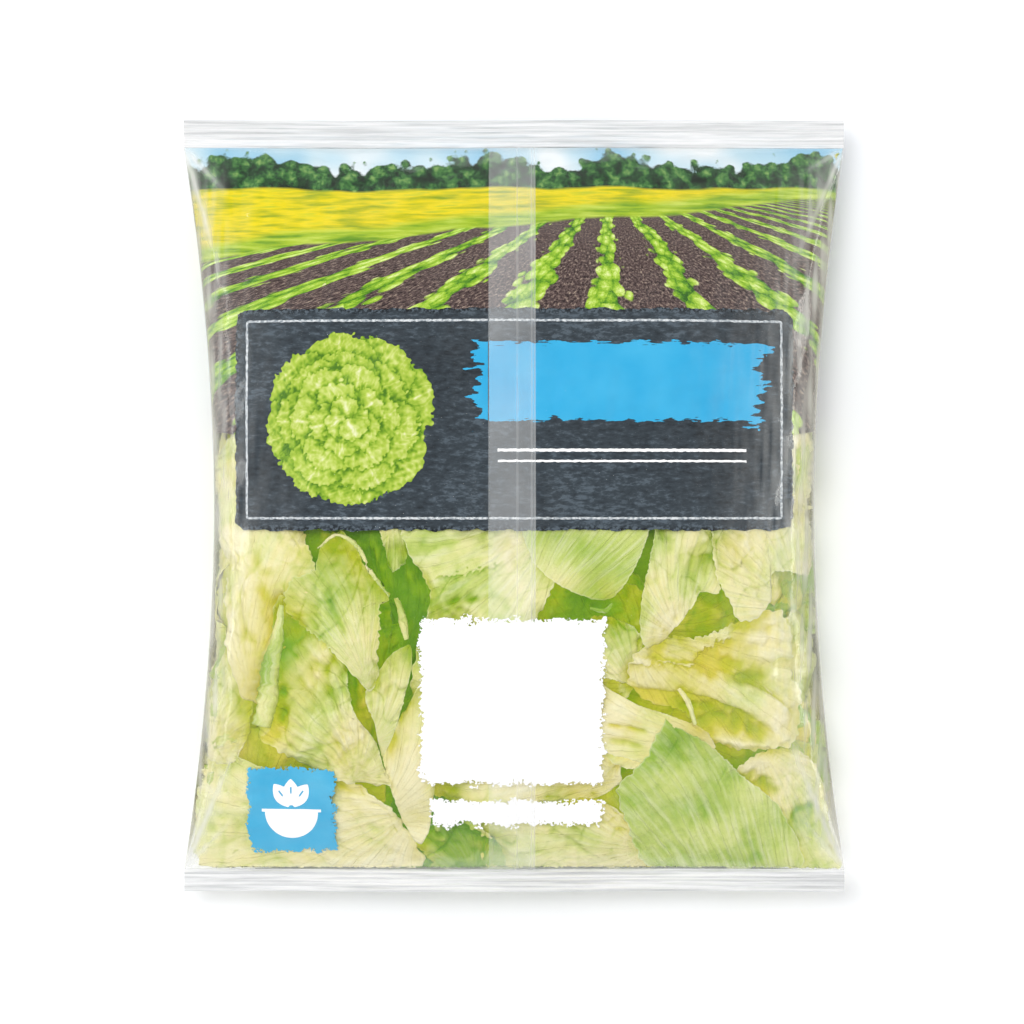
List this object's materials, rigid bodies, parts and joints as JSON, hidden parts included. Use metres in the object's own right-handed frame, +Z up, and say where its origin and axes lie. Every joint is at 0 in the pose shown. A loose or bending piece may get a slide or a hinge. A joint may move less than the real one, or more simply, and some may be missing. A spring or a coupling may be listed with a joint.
{
  "type": "bag of salad leaves",
  "caption": "Sealed pillow bag of cut salad leaves lying on its back, crimped seals at both ends, a lap seam down the front, drawn-in sides.",
  "frame": {"origin": "on the table under the middle of the bag", "axes": "+Z up out of the printed front, +Y towards the top seal, +X to the right of the front"},
  "size_m": [0.25, 0.292, 0.0731],
  "materials": {
    "film": "gloss",
    "clear_film": "gloss",
    "seal": "satin",
    "print": "gloss",
    "leaf": "satin"
  },
  "bodies": {
    "root": {"salad_bag": "film"}
  },
  "joints": []
}
